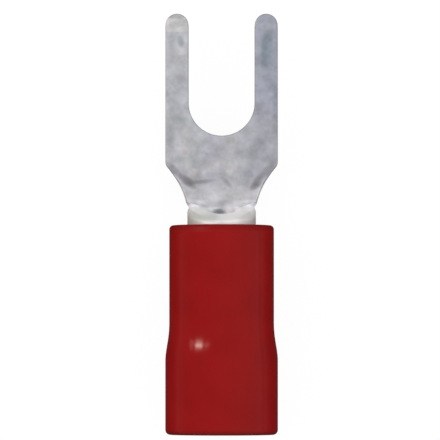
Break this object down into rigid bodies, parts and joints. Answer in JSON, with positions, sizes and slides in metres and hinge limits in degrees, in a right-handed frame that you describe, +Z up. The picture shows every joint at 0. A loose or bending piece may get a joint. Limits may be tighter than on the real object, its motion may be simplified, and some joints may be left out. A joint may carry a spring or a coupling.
{
  "type": "fork terminal",
  "caption": "Red insulated fork terminal: a flat slotted tongue and a rolled wire barrel in tinned sheet, held in a moulded sleeve that swells at the wire end.",
  "frame": {"origin": "centre of the stud slot's round end, on the underside of the tongue", "axes": "+X across the tines, +Y along the barrel towards the tips of the tines, +Z up from the tongue on the side of the barrel's seam"},
  "size_m": [0.0056, 0.0209, 0.0056],
  "materials": {
    "tin_plate": "satin",
    "red_vinyl": "satin"
  },
  "bodies": {
    "root": {"crimp_fork": "tin_plate", "insulating_sleeve": "red_vinyl"}
  },
  "joints": []
}
